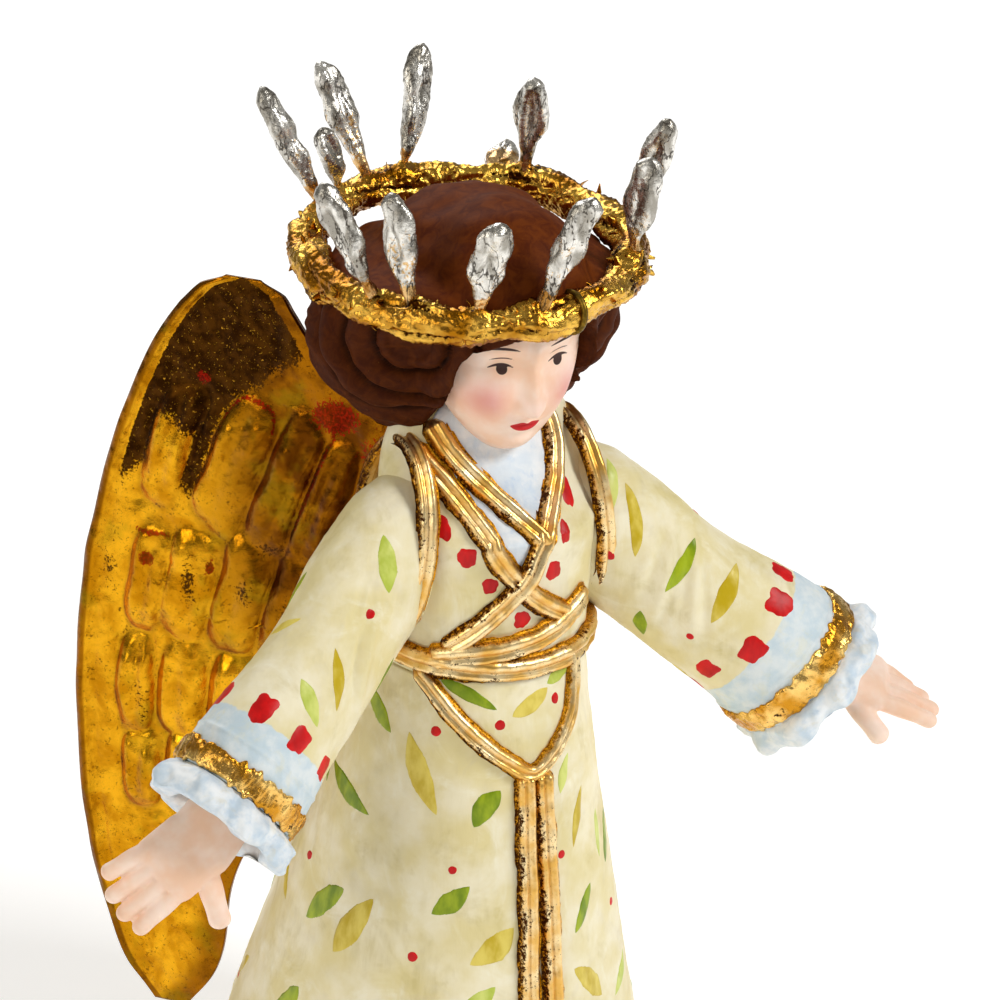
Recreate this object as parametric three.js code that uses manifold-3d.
// A hand-painted angel figurine for a nativity scene, about 300 mm tall.
// The figure bows its head and spreads its arms. The gown and sleeves are cast and painted,
// the wings are gilded embossed sheet, and a gilded ring with twelve silver-leafed rays sits
// on the hair. Millimetres, +Z up, -Y is the figure's front, +X is its left hand side.
// The origin is the centre of the felt under the hem.

import * as THREE from 'three';
import Module from 'manifold-3d';

const wasm = await Module();
wasm.setup();

// Fits and general sizes
const clearance = 0.3;
const overrun = 2;
const cast_wall = 4;
const trim_lift = 0.5;
const sliver = 0.02;
const facet_tolerance = 0.16;
const weld_length = 0.03;
const small_turn = 0.01;

// Gown, from the hem up to the neck
const waist_height = 170;
const chest_rise = 33;
const shoulder_rise = 9;
const neck_rise = 20;
const hem_half_width = 64;
const hem_half_depth = 70;
const hem_trail = 26;
const waist_half_width = 25.5;
const waist_half_depth = 21.5;
const chest_half_width = 27.5;
const chest_half_depth = 22.5;
const shoulder_half_width = 27;
const neck_half_width = 11;
const neck_half_depth = 10.5;
const neck_setback = 8;
const flare_share = 1.15;
const trail_share = 0.8;
const breast_share = 1.7;
const fold_depth = 1.1;
const skirt_top_drop = 2;
const collar_height = 4;

// Foot of the figure
const felt_thickness = 1.2;
const felt_inset = 1.5;
const base_thickness = 3.5;
const waist_dowel_radius = 5;
const waist_dowel_length = 26;
const neck_dowel_radius = 3;
const neck_dowel_length = 16;
const arm_dowel_radius = 3;
const arm_dowel_share = 0.13;
const arm_dowel_length = 16;
const dowel_clearance = 0.15;

// Painted chemise showing in the V of the neck
const yoke_drop = 29;
const yoke_half_width = 15;
const yoke_depth = 26;

// Head, with its own axes: ahead, up and to its left
const head_rise = 19;
const head_advance = 1;
const bow_angle = 16;
const head_half_width = 19.5;
const head_half_depth = 20.5;
const head_half_height = 28;
const chin_advance = 9;
const nose_length = 5.2;
const nose_half_width = 3.2;
const socket_depth = 1.3;
const chin_boss = 0.8;
const eye_spacing = 15.4;
const neck_radius = 9;

// Hair
const hair_rise = 17;
const hair_setback = 11;
const hair_half_width = 36;
const hair_front = 34;
const hair_back = 34;
const hair_temple = 17;
const hair_dome = 31;
const hair_dome_half_width = 28;
const hair_dome_back = 30.5;
const hair_drop = 34;
const hair_taper = 8;
const hair_thickness = 3.2;
const roll_swell = 5;
const face_half_width = 18;
const face_arch = 12.4;
const face_arch_sweep = 2.2;
const face_cut_start = 4;
const face_cut_ahead = 60;

// Crown
const crown_rise = 32;
const crown_setback = 12;
const crown_radius = 38;
const crown_wire = 4.1;
const crown_lump = 0.7;
const crown_forward_tilt = 5;
const crown_side_tilt = -3;
const ray_half_width = 4.1;
const ray_half_thickness = 2.5;
const ray_length = 30;
const ray_seat_depth = 2.2;
const tie_wire = 1.1;

// Wings, each in a plane that swings back from the spine
const wing_root_reach = 8;
const wing_root_setback = 18;
const wing_sweep = 50;
const wing_thickness = 1.8;
const wing_length = 204.5;
const wing_drop = 126;
const wing_span = 91;
const wing_tongue = 4;
const wing_dish = 3;
const rim_width = 3.6;
const rim_height = 1.3;
const lobe_height = 1.5;
const lobe_overlap = 0.4;

// Arms
const arm_root_reach = 14;
const arm_root_setback = 2;
const arm_root_sink = 6;
const arm_reach = 63.5;
const arm_forward = 24;
const arm_drop = 52.5;
const shoulder_girth = [13, 10];
const upper_girth = [16.4, 13];
const elbow_girth = [16.8, 12.8];
const cuff_girth = [18.9, 15.6];
const cuff_bore_depth = 20;
const cuff_wall = 2.6;
const braid_width = 6;
const braid_height = 1.5;
const ruffle_length = 7.5;
const ruffle_height = 2.6;
const ruffle_wave = 1.1;
const ruffle_waves = 8;

// Hands
const palm_length = 15;
const palm_half_width = 9;
const palm_half_thickness = 4;
const finger_length = 15;
const finger_radius = 2.6;
const thumb_length = 17;
const thumb_radius = 3;
const wrist_half_width = 8.6;
const wrist_half_thickness = 5.2;
const tenon_length = 5;
const tenon_radius = 6;
const hand_start_share = 1.4;

// Gilded cords laid over the gown
const cord_half_width = 3.7;
const cord_height = 2.5;
const cord_groove = 1.1;
const waist_cord_wave = 1.2;
const thin_cord_half_width = 2.6;
const thin_cord_height = 2.1;
const armhole_half_width = 3.4;
const sash_half_width = 3.0;
const sash_gap = 0.4;
const sash_end_height = 16;
const armhole_half_height = 23.5;
const armhole_half_depth = 15.5;
const armhole_reach = 24.2;
const armhole_setback = 1.5;
const armhole_sink = 12.5;
const armhole_lean = 7;

// Numbers of facets
const gown_sides = 44;
const skirt_rows = 7;
const hollow_rows = 3;
const bodice_rows = 4;
const sleeve_sides = 24;
const sleeve_rows = 9;
const head_sides = 22;
const head_rows = 16;
const hair_sides = 24;
const hair_rows = 17;
const arch_steps = 12;
const neck_sides = 14;
const dowel_sides = 12;
const crown_steps = 30;
const crown_sides = 8;
const ray_sides = 6;
const tie_steps = 14;
const tie_sides = 6;
const wing_columns = 6;
const lobe_sides = 8;
const palm_sides = 10;
const digit_sides = 5;
const armhole_steps = 21;
const waist_steps = 28;
const cord_step = 5;

// Places that follow from those sizes
const chest_height = waist_height + chest_rise;
const shoulder_height = chest_height + shoulder_rise;
const neck_height = shoulder_height + neck_rise;
const torso_span = neck_height - waist_height;
const wing_foot = waist_height - wing_drop;
const arm_root = new THREE.Vector3(arm_root_reach, arm_root_setback, shoulder_height - arm_root_sink);

// Materials
const paint = (color, roughness = 0.7) => new THREE.MeshStandardMaterial({ color, roughness });
const leaf = (color) => new THREE.MeshStandardMaterial({ color, roughness: 0.3, metalness: 1 });
const cream = paint(0xe9e6b8);
const pale_blue = paint(0xbcd3ea);
const skin_tone = paint(0xf0cdbb);
const brown = paint(0x4a2a1e);
const gold = leaf(0xd29a2c);
const silver = leaf(0xb9bcc0);
const wood = paint(0xb98a55);
const felt = paint(0x5b6a4c, 0.95);
const resin = paint(0xd8cfbc);

// Small maths
const rad = (degrees) => THREE.MathUtils.degToRad(degrees);
const mix = (a, b, t) => a + (b - a) * t;
const clamp01 = (t) => Math.min(Math.max(t, 0), 1);
const ease = (t) => clamp01(t) ** 2 * (3 - 2 * clamp01(t));
const bump = (x, width) => Math.exp(-((x / width) ** 2));
const span = (count) => Array.from({ length: count }, (_, i) => i / count);
const fence = (count) => Array.from({ length: count + 1 }, (_, i) => i / count);

// A table of [key, value, ...] rows read as a smooth curve through its points
function along_table(table, t) {
  const last = table.length - 1;
  if (t <= table[0][0]) return table[0].slice(1);
  if (t >= table[last][0]) return table[last].slice(1);
  const i = table.findIndex((row) => row[0] > t) - 1;
  const k = (t - table[i][0]) / (table[i + 1][0] - table[i][0]);
  const [p0, p1, p2, p3] = [i - 1, i, i + 1, i + 2].map((j) => table[Math.min(Math.max(j, 0), last)]);
  return p1.slice(1).map((_, n) => {
    const [a, b, c, d] = [p0, p1, p2, p3].map((row) => row[n + 1]);
    const slope_b = (c - a) / 2;
    const slope_c = (d - b) / 2;
    const k2 = k * k;
    const k3 = k2 * k;
    return (2 * k3 - 3 * k2 + 1) * b + (k3 - 2 * k2 + k) * slope_b
      + (3 * k2 - 2 * k3) * c + (k3 - k2) * slope_c;
  });
}

// Solids
// A skin joins rings of points; open ends are closed by a fan, or the last ring by the first
function skin(rings, closed = false) {
  const around = rings[0].length;
  const points = rings.flat();
  const faces = [];
  const bands = closed ? rings.length : rings.length - 1;
  for (let i = 0; i < bands; i += 1) {
    const here = i * around;
    const next = ((i + 1) % rings.length) * around;
    for (let j = 0; j < around; j += 1) {
      const k = (j + 1) % around;
      faces.push(here + j, here + k, next + k, here + j, next + k, next + j);
    }
  }
  if (!closed) {
    for (const [ring, turn] of [[0, true], [rings.length - 1, false]]) {
      const center = new THREE.Vector3();
      rings[ring].forEach((p) => center.add(p));
      points.push(center.divideScalar(around));
      for (let j = 0; j < around; j += 1) {
        const a = ring * around + j;
        const b = ring * around + ((j + 1) % around);
        faces.push(points.length - 1, turn ? b : a, turn ? a : b);
      }
    }
  }
  return solid_from(points, faces);
}

function solid_from(points, faces) {
  let six_volumes = 0;
  for (let i = 0; i < faces.length; i += 3) {
    const [a, b, c] = [faces[i], faces[i + 1], faces[i + 2]].map((n) => points[n]);
    six_volumes += a.dot(b.clone().cross(c));
  }
  const triangles = six_volumes < 0 ? faces.slice().reverse() : faces;
  const mesh = new wasm.Mesh({
    numProp: 3,
    vertProperties: new Float32Array(points.flatMap((p) => p.toArray())),
    triVerts: new Uint32Array(triangles),
  });
  mesh.merge();
  return new wasm.Manifold(mesh);
}

// The biggest single body of a cut solid, without its slivers
function main_body(solid) {
  const pieces = solid.simplify(facet_tolerance).decompose();
  return welded(pieces.reduce((best, piece) => (piece.volume() > best.volume() ? piece : best)));
}

// The same solid with the ends of every very short edge brought together
function welded(solid) {
  const mesh = solid.getMesh();
  const points = span(mesh.numVert).map((_, i) => {
    const start = i * mesh.numProp;
    return new THREE.Vector3(...mesh.vertProperties.slice(start, start + 3));
  });
  const stands_for = points.map((_, i) => i);
  const root = (i) => (stands_for[i] === i ? i : root(stands_for[i]));
  const corners = Array.from(mesh.triVerts);
  corners.forEach((a, i) => {
    const b = corners[i % 3 === 2 ? i - 2 : i + 1];
    if (points[a].distanceTo(points[b]) < weld_length) stands_for[root(a)] = root(b);
  });
  const faces = [];
  for (let i = 0; i < corners.length; i += 3) {
    const face = [root(corners[i]), root(corners[i + 1]), root(corners[i + 2])];
    if (new Set(face).size === 3) faces.push(face);
  }
  const key = (face) => face.slice().sort((a, b) => a - b).join();
  const seen = new Map();
  faces.forEach((face) => seen.set(key(face), (seen.get(key(face)) || 0) + 1));
  return solid_from(points, faces.filter((face) => seen.get(key(face)) === 1).flat());
}

function geometry_of(solid) {
  const mesh = solid.getMesh();
  const geometry = new THREE.BufferGeometry();
  const places = new Float32Array(mesh.numVert * 3);
  for (let i = 0; i < mesh.numVert; i += 1) {
    for (let k = 0; k < 3; k += 1) places[i * 3 + k] = mesh.vertProperties[i * mesh.numProp + k];
  }
  geometry.setAttribute('position', new THREE.BufferAttribute(places, 3));
  geometry.setIndex(new THREE.BufferAttribute(new Uint32Array(mesh.triVerts), 1));
  geometry.computeVertexNormals();
  return geometry;
}

function mirrored(solid) {
  const geometry = geometry_of(solid);
  const at = geometry.attributes.position;
  const points = span(at.count).map((_, i) => new THREE.Vector3(-at.getX(i), at.getY(i), at.getZ(i)));
  return solid_from(points, Array.from(geometry.index.array));
}

// A rod between two points with a radius at each end
function rod(from, to, from_radius, to_radius, sides) {
  const run = to.clone().sub(from).normalize();
  const side = Math.abs(run.z) > Math.abs(run.x) ? new THREE.Vector3(1, 0, 0) : new THREE.Vector3(0, 0, 1);
  const u = side.cross(run).normalize();
  const v = run.clone().cross(u);
  const ring = (center, radius) => span(sides).map((t) => center.clone()
    .addScaledVector(u, radius * Math.cos(t * 2 * Math.PI))
    .addScaledVector(v, radius * Math.sin(t * 2 * Math.PI)));
  return skin([ring(from, from_radius), ring(to, to_radius)]);
}

// Gown surface: half width, half depth and setback of the oval section at a height
function gown_section(z) {
  if (z < waist_height) {
    const drop = clamp01((waist_height - z) / waist_height);
    const trail = drop ** trail_share;
    return [mix(waist_half_width, hem_half_width, drop ** flare_share),
      mix(waist_half_depth, hem_half_depth, trail), hem_trail * trail];
  }
  if (z < chest_height) {
    const t = ease((z - waist_height) / (chest_height - waist_height));
    return [mix(waist_half_width, chest_half_width, t), mix(waist_half_depth, chest_half_depth, t), 0];
  }
  const rise = clamp01((z - chest_height) / (neck_height - chest_height));
  const depth = mix(neck_half_depth, chest_half_depth, (1 - rise) ** breast_share);
  const setback = neck_setback * rise;
  if (z < shoulder_height) {
    const t = (z - chest_height) / (shoulder_height - chest_height);
    return [mix(chest_half_width, shoulder_half_width, t), depth, setback];
  }
  const t = clamp01((z - shoulder_height) / (neck_height - shoulder_height));
  return [mix(neck_half_width, shoulder_half_width, Math.sqrt(1 - t * t)), depth, setback];
}

function gown_point(angle, z, grow = 0) {
  const [a, b, setback] = gown_section(z);
  const low = clamp01((waist_height - z) / waist_height);
  const fold = fold_depth * low * low * (Math.cos(9 * angle) + Math.cos(5 * angle + 1) / 2);
  return new THREE.Vector3(
    (a + grow + fold) * Math.cos(angle),
    setback + (b + grow + fold) * Math.sin(angle),
    z,
  );
}

function gown_normal(angle, z) {
  const da = gown_point(angle + small_turn, z).sub(gown_point(angle - small_turn, z));
  const dz = gown_point(angle, z + sliver).sub(gown_point(angle, z - sliver));
  return da.cross(dz).normalize();
}

function gown_rings(heights, grow) {
  return heights.map((z) => span(gown_sides).map((t) => gown_point(t * 2 * Math.PI, z, grow)));
}

// Skirt: a hollow bell that stands on the felt, with its foot closed by a plate
const skirt_bottom = felt_thickness + clearance;
const skirt_top = waist_height - skirt_top_drop;
const skirt_heights = fence(skirt_rows).map((t) => mix(skirt_bottom, skirt_top, t));
const skirt_outside = skin(gown_rings(skirt_heights, 0));
const hollow_top = skirt_top - cast_wall;
const hollow_heights = fence(hollow_rows).map((t) => mix(skirt_bottom - overrun, hollow_top, t));
const skirt_hollow = skin(gown_rings(hollow_heights, -cast_wall));

const waist_middle = new THREE.Vector3(0, 0, waist_height - skirt_top_drop + clearance / 2);
const dowel_rod = (middle, run, length, radius) => rod(
  middle.clone().addScaledVector(run, -length / 2),
  middle.clone().addScaledVector(run, length / 2),
  radius,
  radius,
  dowel_sides,
);
const up = new THREE.Vector3(0, 0, 1);
const waist_dowel = dowel_rod(waist_middle, up, waist_dowel_length, waist_dowel_radius);
const waist_hole = dowel_rod(waist_middle, up, waist_dowel_length + overrun, waist_dowel_radius + dowel_clearance);

// Bodice, with a hollow-free collar for the painted chemise
const bodice_bottom = skirt_top + clearance;
const bodice_heights = [
  ...fence(bodice_rows).map((t) => mix(bodice_bottom, shoulder_height, t)),
  ...fence(bodice_rows).slice(1).map((t) => mix(shoulder_height, neck_height, Math.sin(t * Math.PI / 2))),
];
const bodice_skin_rings = (grow) => gown_rings(bodice_heights, grow);
const collar_ring = (grow) => span(gown_sides).map((t) => new THREE.Vector3(
  (neck_half_width + grow) * Math.cos(t * 2 * Math.PI),
  neck_setback + (neck_half_depth + grow) * Math.sin(t * 2 * Math.PI),
  neck_height + collar_height,
));
const torso = skin([...bodice_skin_rings(0), collar_ring(0)]);
const torso_room = skin([...bodice_skin_rings(clearance), collar_ring(clearance)]);
const gown_room = skin(gown_rings([...skirt_heights, ...bodice_heights], clearance));

// A wedge with the V of the neckline in front view
function neck_wedge(grow) {
  const top = neck_height + collar_height + overrun;
  const low = neck_height - yoke_drop - 2 * grow;
  const half = (yoke_half_width + grow) * (top - low) / yoke_drop;
  const triangle = (y) => [
    new THREE.Vector3(0, y, low),
    new THREE.Vector3(half, y, top),
    new THREE.Vector3(-half, y, top),
  ];
  return skin([triangle(neck_setback + grow - yoke_depth * 2), triangle(neck_setback + grow)]);
}

// Head: an egg with a jaw, seen from its own axes
const ahead = new THREE.Vector3(0, -Math.cos(rad(bow_angle)), -Math.sin(rad(bow_angle)));
const head_up = new THREE.Vector3(0, -Math.sin(rad(bow_angle)), Math.cos(rad(bow_angle)));
const head_middle = new THREE.Vector3(0, -head_advance, neck_height + head_rise);
const in_head = (x, f, h) => head_middle.clone()
  .add(new THREE.Vector3(x, 0, 0))
  .addScaledVector(ahead, f)
  .addScaledVector(head_up, h);

function head_point(turn, fall, grow = 0) {
  const u = Math.cos(fall);
  const round = Math.sin(fall);
  const low = clamp01(-u);
  const front = Math.cos(turn);
  const x = (head_half_width * (1 - 0.3 * low ** 1.7) + grow) * round * Math.sin(turn);
  const h = (head_half_height + grow) * u;
  const back = front < 0 ? 1.12 : 1;
  const flat = 1 - 0.1 * Math.max(front, 0) ** 4;
  let f = (head_half_depth + grow) * back * flat * round * front + chin_advance * low;
  const face = Math.max(front, 0);
  const nose_drop = clamp01(-h / (head_half_height * 0.38));
  const under_nose = h < -head_half_height * 0.38 ? bump(h + head_half_height * 0.38, nose_half_width / 2) : 1;
  f += nose_length * face * bump(x, nose_half_width * (0.6 + 0.6 * nose_drop))
    * (0.25 + 0.75 * nose_drop) * under_nose * (h < head_half_height * 0.1 ? 1 : 0);
  f -= socket_depth * face * bump(Math.abs(x) - eye_spacing / 2, eye_spacing / 4) * bump(h, eye_spacing / 5);
  f += chin_boss * face * bump(x, nose_half_width * 1.4) * bump(h + head_half_height * 0.6, nose_half_width * 0.7);
  return in_head(x, f, h);
}

function head_skin(grow) {
  const turns = span(head_sides).map((t) => {
    const s = 2 * t - 1;
    return Math.PI * Math.sign(s) * Math.abs(s) ** 1.5;
  });
  const falls = fence(head_rows).slice(1, -1).map((t) => t * Math.PI);
  return skin(falls.map((fall) => turns.map((turn) => head_point(turn, fall, grow))));
}

const neck_low = new THREE.Vector3(0, neck_setback, neck_height + collar_height + clearance);
const neck_high = in_head(0, 0, 0);
const neck_rod = (grow) => rod(neck_low, neck_high, neck_radius + grow, neck_radius + grow, neck_sides);
const neck_dowel = dowel_rod(neck_low, up, neck_dowel_length, neck_dowel_radius);
const neck_hole = dowel_rod(neck_low, up, neck_dowel_length + overrun, neck_dowel_radius + dowel_clearance);
const head_full = head_skin(0).add(neck_rod(0));
const head_room = head_skin(clearance).add(neck_rod(clearance));

// Hair: a rolled mass; the rolls swell the sides, and the face looks out of an arched cut
const hair_middle = new THREE.Vector3(0, hair_setback, neck_height + hair_rise);

function hair_point(turn, fall, grow = 0) {
  const u = Math.cos(fall);
  const low = clamp01(-u);
  const side = Math.abs(Math.sin(turn));
  const ahead_share = Math.max(Math.cos(turn), 0);
  const waves = 1 + 0.25 * Math.cos(9 * u + 3 * turn);
  const swell = roll_swell * bump(u + 0.3, 0.4) * (0.35 + 0.65 * side) * waves;
  const front = mix(hair_temple, hair_front, ease((u + 0.1) / 0.45));
  const narrow = ease((u - 0.22) / 0.3);
  const behind = mix(hair_back, hair_dome_back, narrow);
  const reach_x = mix(hair_half_width + swell - hair_taper * low ** 2, hair_dome_half_width, narrow) + grow;
  const reach_y = (Math.cos(turn) > 0 ? front : behind) + swell * (1 - ahead_share) * (1 - narrow) + grow;
  const height = (u > 0 ? hair_dome : hair_drop) + grow;
  return new THREE.Vector3(
    hair_middle.x + reach_x * Math.sin(fall) * Math.sin(turn),
    hair_middle.y - reach_y * Math.sin(fall) * Math.cos(turn),
    hair_middle.z + height * u,
  );
}

function hair_skin(grow) {
  const falls = fence(hair_rows).slice(1, -1).map((t) => t * Math.PI);
  return skin(falls.map((fall) => span(hair_sides).map((t) => hair_point(t * 2 * Math.PI, fall, grow))));
}

// The arch of the hairline: a rounded oval in the head's own front view, drawn forward
function face_cut() {
  const arch = fence(arch_steps).map((t) => [
    face_half_width * Math.cos(t * Math.PI),
    (face_arch + face_arch_sweep * Math.cos(t * Math.PI)) * Math.sin(t * Math.PI),
  ]);
  const drop = head_half_height * 2;
  const points = [[face_half_width, -drop], ...arch, [-face_half_width, -drop]];
  const at = (f) => points.map(([x, h]) => in_head(x, f, h));
  return skin([at(face_cut_start), at(face_cut_ahead)]);
}

// Crown ring: two twisted wires under leaf, so its section is lumpy
const crown_middle = new THREE.Vector3(0, crown_setback, neck_height + crown_rise);
const crown_up = new THREE.Vector3(
  Math.sin(rad(crown_side_tilt)),
  -Math.sin(rad(crown_forward_tilt)),
  1,
).normalize();
const crown_x = new THREE.Vector3(0, 1, 0).cross(crown_up).normalize();
const crown_y = crown_up.clone().cross(crown_x);
const crown_out = (turn) => crown_x.clone().multiplyScalar(Math.cos(turn)).addScaledVector(crown_y, Math.sin(turn));
const on_crown = (turn) => crown_middle.clone().addScaledVector(crown_out(turn), crown_radius);

function crown_skin(grow) {
  return skin(span(crown_steps).map((t) => {
    const turn = t * 2 * Math.PI;
    const out = crown_out(turn);
    const center = on_crown(turn);
    return span(crown_sides).map((s) => {
      const phase = s * 2 * Math.PI;
      const lump = crown_lump * (Math.cos(2 * phase + 7 * turn) + 0.5 * Math.sin(phase + 11 * turn));
      const radius = crown_wire + lump + grow;
      return center.clone()
        .addScaledVector(out, radius * Math.cos(phase))
        .addScaledVector(crown_up, radius * Math.sin(phase));
    });
  }), true);
}

// Rays: [turn on the ring, outward lean, sideways sway, share of the ray length, share of its width, twist]
const ray_places = [
  [125, 28, 7, 1.17, 0.85],
  [99, 26, 11, 1.14, 0.92],
  [88, 17, -20, 1.16, 0.85],
  [53, 83, -29, 0.62, 0.85],
  [42, -1, -4, 0.97, 0.9],
  [350, 14, -15, 1.13, 0.9, 70],
  [320, 7, 5, 0.94, 0.98, 75],
  [263, 9, 22, 1.13, 0.95],
  [243, 6, 9, 0.93, 1.05],
  [221, -7, -13, 1, 0.95],
  [208, 12, -19, 1.13, 1.02],
  [113, 19, 5, 0.66, 0.75],
];
const bud_shares = [[0, 0.36], [0.24, 0.36], [0.44, 0.86], [0.66, 1], [0.86, 0.88], [0.96, 0.55], [1, 0.2]];

function ray_axes([turn, lean, sway, , , twist = 0]) {
  const out = crown_out(rad(turn));
  const tangent = crown_up.clone().cross(out);
  const run = crown_up.clone()
    .addScaledVector(out, Math.tan(rad(lean)))
    .addScaledVector(tangent, Math.tan(rad(sway)))
    .normalize();
  const flat = tangent.clone().addScaledVector(run, -tangent.dot(run)).normalize()
    .applyAxisAngle(run, rad(twist));
  return { seat: on_crown(rad(turn)), run, wide: flat, thick: run.clone().cross(flat) };
}

function ray_skin(place) {
  const { seat, run, wide, thick } = ray_axes(place);
  const start = crown_wire - ray_seat_depth;
  const length = ray_length * place[3];
  const breadth = ray_half_width * place[4];
  return skin(bud_shares.map(([t, share]) => {
    const center = seat.clone().addScaledVector(run, mix(start, length, t));
    return span(ray_sides).map((s) => center.clone()
      .addScaledVector(wide, breadth * share * Math.cos(s * 2 * Math.PI))
      .addScaledVector(thick, Math.min(ray_half_thickness, breadth * share) * Math.sin(s * 2 * Math.PI)));
  }));
}

function ray_socket(place) {
  const { seat, run } = ray_axes(place);
  const floor = crown_wire - ray_seat_depth - clearance;
  const radius = ray_half_width * place[4] * bud_shares[0][1] + clearance;
  return rod(
    seat.clone().addScaledVector(run, floor),
    seat.clone().addScaledVector(run, floor + ray_seat_depth * 3),
    radius,
    radius,
    ray_sides,
  );
}

// Wing outline as shares: height share of the length above the foot, then the inner and outer
// reach as shares of the span
const wing_shares = [
  [0, 0.7, 0.75], [0.02, 0.63, 0.82], [0.05, 0.59, 0.865], [0.1, 0.56, 0.905], [0.19, 0.54, 0.957],
  [0.28, 0.45, 0.985], [0.39, 0.31, 0.999], [0.5, 0.185, 0.996], [0.59, 0.085, 0.978], [0.66, 0.02, 0.95],
  [0.78, 0.01, 0.878], [0.84, 0.09, 0.82], [0.87, 0.19, 0.79], [0.92, 0.3, 0.73], [0.96, 0.36, 0.67],
  [0.985, 0.41, 0.605], [1, 0.49, 0.54],
];
const wing_rows = [0, 0.03, 0.09, 0.18, 0.3, 0.42, 0.54, 0.64, 0.74, 0.82, 0.88, 0.93, 0.97, 1];
const wing_out = new THREE.Vector3(Math.cos(rad(wing_sweep)), Math.sin(rad(wing_sweep)), 0);
const wing_face = new THREE.Vector3(Math.sin(rad(wing_sweep)), -Math.cos(rad(wing_sweep)), 0);
const wing_base = new THREE.Vector3(wing_root_reach, wing_root_setback, 0);

// A place on the wing's front face: reach and height shares, and how far proud of the sheet
function wing_point(reach_share, height_share, proud) {
  const across = clamp01(reach_share);
  const dish = wing_dish * (across * across * 1.6 - across * 0.8) * Math.sin(Math.PI * clamp01(height_share * 0.9 + 0.1));
  return wing_base.clone()
    .addScaledVector(wing_out, wing_span * reach_share)
    .addScaledVector(wing_face, dish + proud)
    .setZ(wing_foot + wing_length * height_share);
}

function wing_skin(grow) {
  const columns = fence(wing_columns);
  return skin(wing_rows.map((h) => {
    const [inner, outer] = along_table(wing_shares, h);
    const edge = grow / wing_span;
    const root = inner < 0.12 && h > 0.55 ? wing_tongue / wing_span : 0;
    const reach = columns.map((t) => mix(inner - edge - root, outer + edge, t));
    const height = h === 0 ? -grow / wing_length : h === 1 ? 1 + grow / wing_length : h;
    const front = reach.map((q) => wing_point(q, height, wing_thickness / 2 + grow));
    const back = reach.map((q) => wing_point(q, height, -wing_thickness / 2 - grow));
    return [...front, ...back.reverse()];
  }));
}

// Embossed feathers: [reach share, height share, half width share, half length share, slant]
const feather_shares = [
  [0.72, 0.78, 0.058, 0.075, 15], [0.54, 0.76, 0.072, 0.09, 21], [0.39, 0.745, 0.06, 0.095, 20],
  [0.28, 0.73, 0.052, 0.085, 19],
  [0.787, 0.592, 0.056, 0.067, 8], [0.668, 0.592, 0.07, 0.072, 12], [0.517, 0.585, 0.072, 0.074, 14],
  [0.378, 0.583, 0.062, 0.068, 16],
  [0.826, 0.447, 0.052, 0.066, 2], [0.688, 0.45, 0.066, 0.062, 3], [0.542, 0.45, 0.062, 0.06, 8],
  [0.81, 0.33, 0.058, 0.05, 2], [0.68, 0.34, 0.058, 0.05, 4],
];

function feather_pad([reach, height, half_width, half_length, slant]) {
  const rings = [[1, -1], [0.72, 1]].map(([size, lift]) => span(lobe_sides).map((t) => {
    const angle = t * 2 * Math.PI;
    const rounder = (c) => Math.sign(c) * Math.abs(c) ** 0.6;
    const dq = half_width * wing_span * size * rounder(Math.cos(angle));
    const dz = half_length * wing_length * (1 - (1 - size) * half_width * wing_span / half_length / wing_length)
      * rounder(Math.sin(angle));
    const q = reach + (dq * Math.cos(rad(slant)) - dz * Math.sin(rad(slant))) / wing_span;
    const h = height + (dz * Math.cos(rad(slant)) + dq * Math.sin(rad(slant))) / wing_length;
    return wing_point(q, h, wing_thickness / 2 + (lift < 0 ? -lobe_overlap : lobe_height * lift));
  }));
  return skin(rings);
}

// The rolled rim along the outer and upper edge
function wing_rim() {
  const rows = [0.1, 0.2, 0.32, 0.44, 0.56, 0.68, 0.78, 0.86, 0.92, 0.96, 0.985];
  return skin(rows.map((h) => {
    const outer = along_table(wing_shares, h)[1];
    const width = rim_width / wing_span;
    return [
      wing_point(outer - width, h, wing_thickness / 2 - lobe_overlap),
      wing_point(outer - width * 0.7, h, wing_thickness / 2 + rim_height),
      wing_point(outer - width * 0.3, h, wing_thickness / 2 + rim_height),
      wing_point(outer - width * 0.05, h, wing_thickness / 2 - lobe_overlap),
    ];
  }));
}

const wing_plain = wing_skin(0);
const wing_room = wing_skin(clearance);
const wing_left = main_body(feather_shares.map(feather_pad).reduce((all, pad) => all.add(pad), wing_plain)
  .add(wing_rim()));
const wing_right_room = mirrored(wing_room);

// Arm centreline as shares of its reach, forward swing and drop, then both half girths
const arm_shares = [
  [0, 0, 0, 0], [0.14, 0.13, 0.1, 0.1], [0.32, 0.36, 0.3, 0.34], [0.55, 0.6, 0.6, 0.6],
  [0.76, 0.81, 0.84, 0.79], [0.89, 0.91, 0.93, 0.9], [1, 1, 1, 1],
];
const arm_girths = [
  [0, ...shoulder_girth],
  [0.16, ...upper_girth],
  [0.52, ...elbow_girth],
  [0.85, ...cuff_girth],
  [1, ...cuff_girth],
];
const arm_length = Math.hypot(arm_reach, arm_forward, arm_drop);

function arm_place(t) {
  const inside = clamp01(t);
  const [reach, forward, drop] = along_table(arm_shares, inside);
  const at = arm_root.clone().add(new THREE.Vector3(
    arm_reach * reach,
    -arm_forward * forward,
    -arm_drop * drop,
  ));
  return t > 1 ? at.addScaledVector(arm_run(1), (t - 1) * arm_length) : at;
}

function arm_run(t) {
  const here = clamp01(t);
  const step_share = 0.04;
  return arm_place(here).sub(arm_place(Math.max(here - step_share, 0)))
    .add(arm_place(Math.min(here + step_share, 1)).sub(arm_place(here))).normalize();
}

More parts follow.
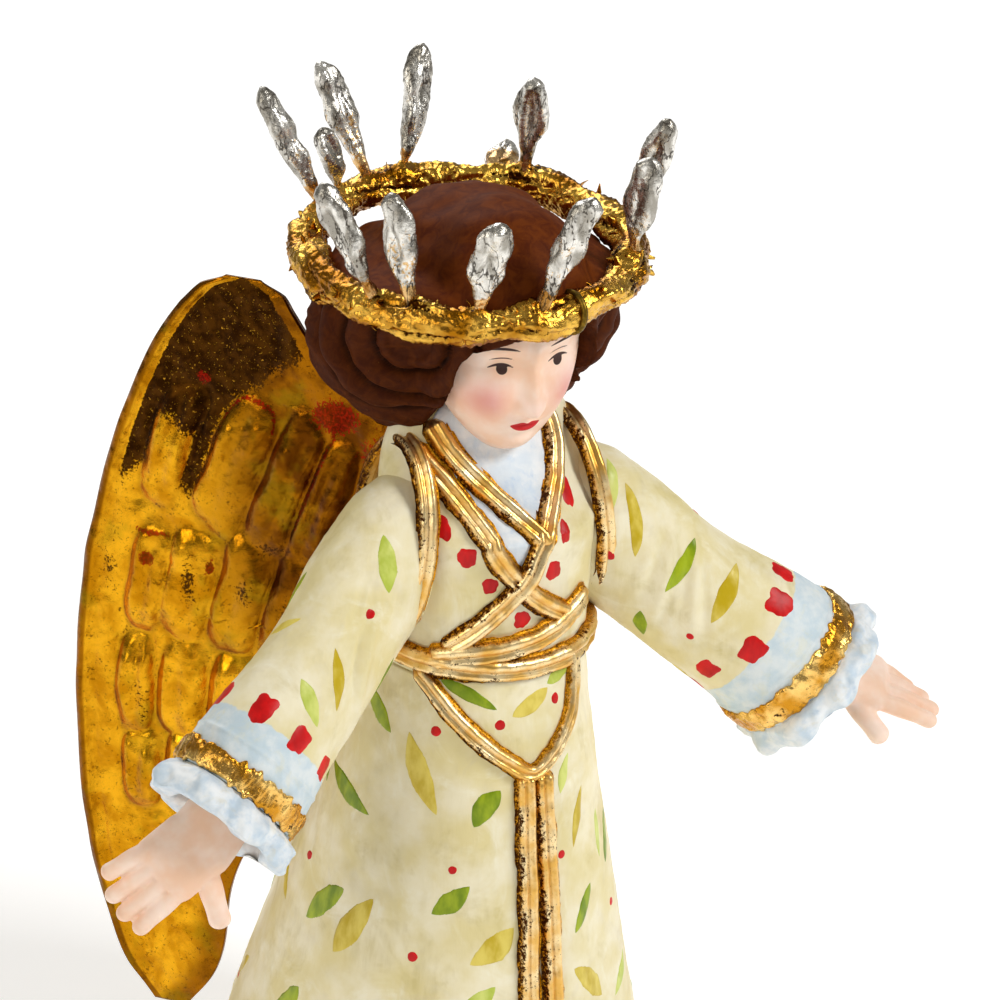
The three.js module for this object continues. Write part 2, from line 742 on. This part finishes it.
function arm_ring(t, grow, sides = sleeve_sides, wave = 0) {
  const run = arm_run(t);
  const high = up.clone().addScaledVector(run, -run.z).normalize();
  const side = run.clone().cross(high);
  const [half_height, half_depth] = along_table(arm_girths, clamp01(t));
  const center = arm_place(t);
  return span(sides).map((s) => {
    const phase = s * 2 * Math.PI;
    const ripple = grow + wave * Math.cos(ruffle_waves * phase);
    return center.clone()
      .addScaledVector(high, (half_height + ripple) * Math.cos(phase))
      .addScaledVector(side, (half_depth + ripple) * Math.sin(phase));
  });
}

const sleeve_steps = fence(sleeve_rows);
const sleeve_outside = skin(sleeve_steps.map((t) => arm_ring(t, 0)));
const sleeve_room = skin(sleeve_steps.map((t) => arm_ring(t, clearance)));
const bore_start = 1 - cuff_bore_depth / arm_length;
const bore_steps = [bore_start, 1, 1 + overrun / arm_length];
const cuff_bore = skin(bore_steps.map((t) => arm_ring(t, -cuff_wall)));
const arm_dowel_middle = arm_place(arm_dowel_share);
const arm_dowel_run = new THREE.Vector3(1, 0, 0);
const arm_dowel = dowel_rod(arm_dowel_middle, arm_dowel_run, arm_dowel_length, arm_dowel_radius);
const arm_hole = dowel_rod(
  arm_dowel_middle,
  arm_dowel_run,
  arm_dowel_length + overrun,
  arm_dowel_radius + dowel_clearance,
);

// Cuff braid: a flat gilded band round the sleeve
const braid_end = 1 - clearance / arm_length;
const braid_start = braid_end - braid_width / arm_length;
const braid = skin([
  arm_ring(braid_start, clearance + sliver),
  arm_ring(mix(braid_start, braid_end, 0.12), braid_height),
  arm_ring(mix(braid_start, braid_end, 0.88), braid_height),
  arm_ring(braid_end, clearance + sliver),
], true);

// Cuff ruffle: a waved frill that closes on itself round the mouth of the sleeve
const ruffle_at = (share) => 1 + (clearance + ruffle_length * share) / arm_length;
const ruffle_sides = ruffle_waves * 4;
const ruffle = skin([
  arm_ring(ruffle_at(0), 0, ruffle_sides),
  arm_ring(ruffle_at(0.3), ruffle_height * 0.7, ruffle_sides, ruffle_wave * 0.5),
  arm_ring(ruffle_at(0.7), ruffle_height, ruffle_sides, ruffle_wave),
  arm_ring(ruffle_at(1), ruffle_height * 0.5, ruffle_sides, ruffle_wave),
  arm_ring(ruffle_at(0.8), -cuff_wall, ruffle_sides, ruffle_wave * 0.4),
  arm_ring(ruffle_at(0), -cuff_wall, ruffle_sides),
], true);

// Hands: where the wrist sits in the cuff, the ways the fingers and the back of the hand
// face, and [sideways place share, spread, curl at the root and tip, length share] per finger
const right_hand = {
  wrist_shift: new THREE.Vector3(0, 0, 0),
  reach: new THREE.Vector3(0.88, -0.08, -0.47),
  back: new THREE.Vector3(0.2, -0.78, 0.58),
  thumb: [68, 8],
  fingers: [
    [-0.78, -12, -4, 10, 0.8],
    [-0.27, -5, 4, 26, 0.98],
    [0.27, 2, 8, 30, 1.02],
    [0.8, 12, 10, 30, 0.96],
  ],
};
const left_hand = {
  wrist_shift: new THREE.Vector3(3.4, 1, 6.4),
  reach: new THREE.Vector3(0.87, -0.38, -0.26),
  back: new THREE.Vector3(0, -0.45, 0.88),
  thumb: [52, 14],
  fingers: [
    [-0.78, -3, 20, 34, 0.82],
    [-0.27, -2, 10, 24, 0.98],
    [0.27, 0, 4, 16, 1.04],
    [0.8, 3, 0, 14, 0.98],
  ],
};

function hand_axes({ wrist_shift, reach, back }) {
  const f = reach.clone().normalize();
  const n = back.clone().addScaledVector(f, -back.dot(f)).normalize();
  const s = f.clone().cross(n).normalize();
  if (s.y > 0) s.negate();
  const wrist = arm_place(ruffle_at(hand_start_share)).add(wrist_shift);
  const at = (along, side, lift) => wrist.clone()
    .addScaledVector(f, along)
    .addScaledVector(s, side)
    .addScaledVector(n, lift);
  return { f, n, s, wrist, at };
}

// The forearm runs back through the hollow cuff into a round socket in the sleeve's core
function forearm_rod(hand, grow) {
  const { f, s, wrist, at } = hand_axes(hand);
  const hollow = arm_length * (ruffle_at(hand_start_share) - 1) + cuff_bore_depth;
  const inner_run = arm_run(1);
  const ring = (center, run, half_width, half_thickness) => {
    const wide = s.clone().addScaledVector(run, -s.dot(run)).normalize();
    const thick = run.clone().cross(wide);
    return span(palm_sides).map((t) => center.clone()
      .addScaledVector(wide, (half_width + grow) * Math.cos(t * 2 * Math.PI))
      .addScaledVector(thick, (half_thickness + grow) * Math.sin(t * 2 * Math.PI)));
  };
  const along = (back) => wrist.clone().addScaledVector(inner_run, -back);
  return skin([
    ring(along(hollow + tenon_length + grow), inner_run, tenon_radius, tenon_radius),
    ring(along(hollow), inner_run, tenon_radius, tenon_radius),
    ring(along(0), inner_run.clone().add(f).normalize(), wrist_half_width, wrist_half_thickness),
    ring(at(palm_length * 0.25, 0, 0), f, wrist_half_width, palm_half_thickness),
  ]);
}

function hand_solid(hand_table) {
  const { f, n, s, at } = hand_axes(hand_table);
  const { thumb, fingers } = hand_table;
  const oval = (along, half, thick) => span(palm_sides).map((t) => at(
    along,
    half * Math.cos(t * 2 * Math.PI),
    thick * Math.sin(t * 2 * Math.PI),
  ));
  const palm = skin([
    oval(-palm_length * 0.1, wrist_half_width * 0.8, wrist_half_thickness * 0.7),
    oval(palm_length * 0.2, wrist_half_width * 0.96, palm_half_thickness),
    oval(palm_length * 0.6, palm_half_width * 0.95, palm_half_thickness),
    oval(palm_length * 0.95, palm_half_width, palm_half_thickness * 0.85),
    oval(palm_length * 1.1, palm_half_width * 0.9, palm_half_thickness * 0.5),
  ]);
  const digit = (root, spread, root_curl, tip_curl, length, radius) => {
    const place = root.clone();
    const stages = [0, 0.35, 0.33, 0.24, 0.08];
    const sizes = [1, 1, 0.94, 0.84, 0.42];
    const rings = [];
    stages.forEach((share, i) => {
      const curl = rad(mix(root_curl, tip_curl, i / 4));
      const run = f.clone().multiplyScalar(Math.cos(rad(spread)) * Math.cos(curl))
        .addScaledVector(s, Math.sin(rad(spread)) * Math.cos(curl))
        .addScaledVector(n, -Math.sin(curl))
        .normalize();
      const across = n.clone().addScaledVector(run, -n.dot(run)).normalize();
      const other = run.clone().cross(across);
      place.addScaledVector(run, length * share);
      rings.push(span(digit_sides).map((t) => place.clone()
        .addScaledVector(across, radius * sizes[i] * Math.cos(t * 2 * Math.PI))
        .addScaledVector(other, radius * sizes[i] * Math.sin(t * 2 * Math.PI))));
    });
    return skin(rings);
  };
  let hand = forearm_rod(hand_table, 0).add(palm);
  for (const [side, spread, root_curl, tip_curl, share] of fingers) {
    const root = at(palm_length * 0.85, side * (palm_half_width - finger_radius * 0.6), 0);
    hand = hand.add(digit(root, spread, root_curl, tip_curl, finger_length * share, finger_radius));
  }
  const thumb_root = at(palm_length * 0.3, palm_half_width * 0.35, -palm_half_thickness * 0.2);
  hand = hand.add(digit(thumb_root, thumb[0], thumb[1], thumb[1], thumb_length, thumb_radius));
  return main_body(hand);
}

// Cords: a twin-ridged strip whose middle runs along a path of places with their surface normals
function strip(path, half_width, height, grow, closed = false) {
  const groove = height - cord_groove;
  const profile = [
    [-half_width - grow, -grow],
    [-half_width * 0.78 - grow, height * 0.75 + grow],
    [-half_width * 0.45, height + grow],
    [0, groove + grow],
    [half_width * 0.45, height + grow],
    [half_width * 0.78 + grow, height * 0.75 + grow],
    [half_width + grow, -grow],
  ];
  const rings = path.map(({ place, normal }, i) => {
    const before = path[closed ? (i + path.length - 1) % path.length : Math.max(i - 1, 0)].place;
    const after = path[closed ? (i + 1) % path.length : Math.min(i + 1, path.length - 1)].place;
    const run = after.clone().sub(before).normalize();
    const side = run.clone().cross(normal).normalize();
    return profile.map(([w, h]) => place.clone().addScaledVector(side, w).addScaledVector(normal, h));
  });
  return skin(rings, closed);
}

// A path over the gown from [angle, share of the torso's height above the waist] rows
function gown_path(rows, step = cord_step) {
  const height = (share) => waist_height + torso_span * share;
  const length = rows.slice(1).reduce((sum, row, i) => sum
    + gown_point(rad(row[0]), height(row[1])).distanceTo(gown_point(rad(rows[i][0]), height(rows[i][1]))), 0);
  const keyed = rows.map((row, i) => [i, ...row]);
  const steps = Math.max(Math.round(length / step), 2);
  return fence(steps).map((t) => {
    const [degrees, share] = along_table(keyed, t * (rows.length - 1));
    const normal = gown_normal(rad(degrees), height(share));
    return { place: gown_point(rad(degrees), height(share)).addScaledVector(normal, trim_lift), normal };
  });
}

const waist_path = span(waist_steps).map((t) => {
  const angle = t * 2 * Math.PI;
  const z = waist_height + cord_half_width * 0.45 + waist_cord_wave * Math.sin(angle * 2 + 1);
  const normal = gown_normal(angle, z);
  return { place: gown_point(angle, z).addScaledVector(normal, trim_lift), normal };
});
const waist_upper_rows = [[-146, 0.055], [-127, 0.085], [-107, 0.1], [-86, 0.125], [-72, 0.16], [-62, 0.2], [-46, 0.24]];
const cross_left_rows = [
  [-54, 0.93], [-58, 0.817], [-66.5, 0.7], [-78, 0.594], [-88.5, 0.5], [-98.4, 0.381], [-110, 0.276], [-125, 0.175],
  [-141, 0.093],
];
const cross_right_rows = [
  [-150, 0.86], [-132, 0.735], [-121.5, 0.614], [-111, 0.476], [-96, 0.348], [-81, 0.254], [-60, 0.16],
];
const neckline_rows = [[-141, 0.94], [-130, 0.885], [-113.5, 0.76], [-101, 0.657], [-88, 0.55]];
const hip_rows = [
  [-154.5, 0], [-143, -0.07], [-130, -0.167], [-115, -0.277], [-103, -0.354], [-91.5, -0.412], [-80.5, -0.365],
  [-70, -0.28], [-62, -0.185], [-57.5, -0.051], [-57, 0.04],
];
const sash_top_share = -0.44;
const sash_end_share = (sash_end_height - waist_height) / torso_span;

const armhole_middle = new THREE.Vector3(armhole_reach, armhole_setback, shoulder_height - armhole_sink);
const armhole_path = span(armhole_steps).map((t) => {
  const phase = t * 2 * Math.PI;
  const out = new THREE.Vector3(Math.cos(rad(armhole_lean)), 0, Math.sin(rad(armhole_lean)));
  const high = new THREE.Vector3(-Math.sin(rad(armhole_lean)), 0, Math.cos(rad(armhole_lean)));
  const place = armhole_middle.clone()
    .addScaledVector(high, armhole_half_height * Math.cos(phase))
    .add(new THREE.Vector3(0, -armhole_half_depth * Math.sin(phase), 0));
  const normal = high.clone().multiplyScalar(Math.cos(phase) / armhole_half_height)
    .add(new THREE.Vector3(0, -Math.sin(phase) / armhole_half_depth, 0))
    .normalize()
    .addScaledVector(out, 0.25)
    .normalize();
  return { place, normal };
});

const cord = (rows) => strip(gown_path(rows), cord_half_width, cord_height, 0);
const cord_room = (rows) => strip(gown_path(rows), cord_half_width, cord_height, clearance);
const sash_rows = (side) => [sash_top_share, mix(sash_top_share, sash_end_share, 0.5), sash_end_share]
  .map((share) => {
    const reach = gown_section(waist_height + torso_span * share)[0];
    return [-90 + THREE.MathUtils.radToDeg(Math.asin(side * (sash_half_width + sash_gap) / reach)), share];
  });

// Wire tie: a small ring that binds the two ends of the crown together
const tie_turn = rad(278);
const tie_middle = on_crown(tie_turn);
const tie_skin = (grow) => skin(span(tie_steps).map((t) => {
  const phase = t * 2 * Math.PI;
  const out = crown_out(tie_turn);
  const away = out.clone().multiplyScalar(Math.cos(phase)).addScaledVector(crown_up, Math.sin(phase));
  const center = tie_middle.clone().addScaledVector(away, crown_wire + tie_wire);
  const tangent = crown_up.clone().cross(out);
  return span(tie_sides).map((s) => center.clone()
    .addScaledVector(away, (tie_wire + grow) * Math.cos(s * 2 * Math.PI))
    .addScaledVector(tangent, (tie_wire + grow) * Math.sin(s * 2 * Math.PI)));
}), true);
const crown_tie = main_body(tie_skin(0).subtract(head_room));

// Cutting and seating
const torso_cut = (solid) => main_body(solid.subtract(torso_room));
const sleeve_plain = sleeve_outside.subtract(cuff_bore).subtract(torso_room)
  .subtract(wing_room).subtract(arm_hole);
const sleeve_for = (hand) => main_body(sleeve_plain.subtract(forearm_rod(hand, clearance)));
const sleeve_right_room = mirrored(sleeve_room);

const armhole_full = strip(armhole_path, armhole_half_width, cord_height, 0, true);
const armhole_left = torso_cut(armhole_full.subtract(sleeve_room).subtract(wing_room));
const armhole_left_room = strip(armhole_path, armhole_half_width, cord_height, clearance, true);
const armhole_right_room = mirrored(armhole_left_room);

const past_armholes = (solid) => solid.subtract(armhole_left_room).subtract(armhole_right_room)
  .subtract(sleeve_room).subtract(sleeve_right_room);
const waist_cord = main_body(past_armholes(strip(waist_path, cord_half_width, cord_height, 0, true))
  .subtract(gown_room).subtract(wing_room).subtract(wing_right_room));
const waist_room = strip(waist_path, cord_half_width, cord_height, clearance, true);
const waist_upper = main_body(past_armholes(cord(waist_upper_rows)).subtract(waist_room));
const waist_upper_room = cord_room(waist_upper_rows);
const under_waist = (solid) => past_armholes(solid).subtract(waist_room).subtract(waist_upper_room);
const cross_left = torso_cut(under_waist(cord(cross_left_rows)).subtract(head_room));
const cross_left_room = cord_room(cross_left_rows);
const cross_right_upper = main_body(under_waist(cord(cross_right_rows.slice(0, 5))).subtract(cross_left_room));
const cross_right_lower = main_body(under_waist(cord(cross_right_rows.slice(4))).subtract(cross_left_room));
const cross_right_room = cord_room(cross_right_rows.slice(0, 5));
const neckline_cord = main_body(under_waist(cord(neckline_rows)).subtract(cross_left_room)
  .subtract(cross_right_room));
const neckline_room = cord_room(neckline_rows);
const hip_cord = main_body(strip(gown_path(hip_rows), thin_cord_half_width, thin_cord_height, 0)
  .subtract(waist_room).subtract(waist_upper_room));
const hip_room = strip(gown_path(hip_rows), thin_cord_half_width, thin_cord_height, clearance);
const sash_cord = (side) => main_body(strip(gown_path(sash_rows(side), cord_step * 2), sash_half_width, cord_height, 0)
  .subtract(hip_room));

const trims_room = [armhole_left_room, armhole_right_room, cross_left_room, cross_right_room, neckline_room]
  .reduce((all, room) => all.add(room));

const yoke = main_body(torso.intersect(neck_wedge(0)).subtract(neck_hole));
const bodice = main_body(torso.subtract(neck_wedge(clearance)).subtract(waist_hole).subtract(neck_hole)
  .subtract(wing_room).subtract(wing_right_room).subtract(arm_hole).subtract(mirrored(arm_hole)));
const skirt = main_body(skirt_outside.subtract(skirt_hollow).subtract(waist_hole)
  .subtract(wing_room).subtract(wing_right_room));
const head = main_body(head_full.subtract(neck_hole).subtract(torso_room));
const crown_room = crown_skin(clearance);
const hair = main_body(hair_skin(0).add(head_skin(hair_thickness)).subtract(head_room)
  .subtract(face_cut()).subtract(crown_room).subtract(tie_skin(clearance))
  .subtract(torso_room).subtract(trims_room).subtract(sleeve_room).subtract(sleeve_right_room)
  .subtract(wing_room).subtract(wing_right_room));

const crown_ring = main_body(ray_places.map(ray_socket)
  .reduce((ring, socket) => ring.subtract(socket), crown_skin(0)).subtract(tie_skin(clearance)).subtract(head_room));

// Foot
const foot_outline = (grow, bottom, top) => skin(gown_rings([bottom, top], grow));
const felt_pad = foot_outline(-felt_inset, 0, felt_thickness);
const base_plate = foot_outline(-cast_wall - clearance * 2, skirt_bottom, skirt_bottom + base_thickness);

// Assembly
const figure = new THREE.Group();
figure.position.y = -hem_trail;
const place = (name, solid, material, parent = figure) => {
  const mesh = new THREE.Mesh(geometry_of(solid), material);
  mesh.name = name;
  parent.add(mesh);
};

place('felt_pad', felt_pad, felt);
place('base_plate', base_plate, resin);
place('skirt', skirt, cream);
place('waist_dowel', waist_dowel, wood);
place('bodice', bodice, cream);
place('chemise_yoke', yoke, pale_blue);
place('neck_dowel', neck_dowel, wood);
place('head', head, skin_tone);
place('hair', hair, brown);
place('crown_ring', crown_ring, gold);
place('crown_wire_tie', crown_tie, gold);
ray_places.forEach((ray, i) => place(`crown_ray_${String(i + 1).padStart(2, '0')}`, main_body(ray_skin(ray)), silver));
place('waist_cord', waist_cord, gold);
place('waist_cord_upper', waist_upper, gold);
place('cross_cord_left', cross_left, gold);
place('cross_cord_right_upper', cross_right_upper, gold);
place('cross_cord_right_lower', cross_right_lower, gold);
place('neckline_cord', neckline_cord, gold);
place('hip_cord', hip_cord, gold);
place('sash_cord_left', sash_cord(1), gold);
place('sash_cord_right', sash_cord(-1), gold);

// Sides: each right piece is the left one seen in a mirror, apart from the hands' gestures
const sides = [['left', (solid) => solid], ['right', mirrored]];
for (const [side, turned] of sides) {
  const hand = side === 'left' ? left_hand : right_hand;
  place(`wing_${side}`, turned(wing_left), gold);
  place(`arm_dowel_${side}`, turned(arm_dowel), wood);
  place(`sleeve_${side}`, turned(sleeve_for(hand)), cream);
  place(`armhole_cord_${side}`, turned(armhole_left), gold);
  place(`cuff_braid_${side}`, turned(braid), gold);
  place(`cuff_ruffle_${side}`, turned(ruffle), pale_blue);
  place(`hand_${side}`, turned(hand_solid(hand)), skin_tone);
}

export default figure;
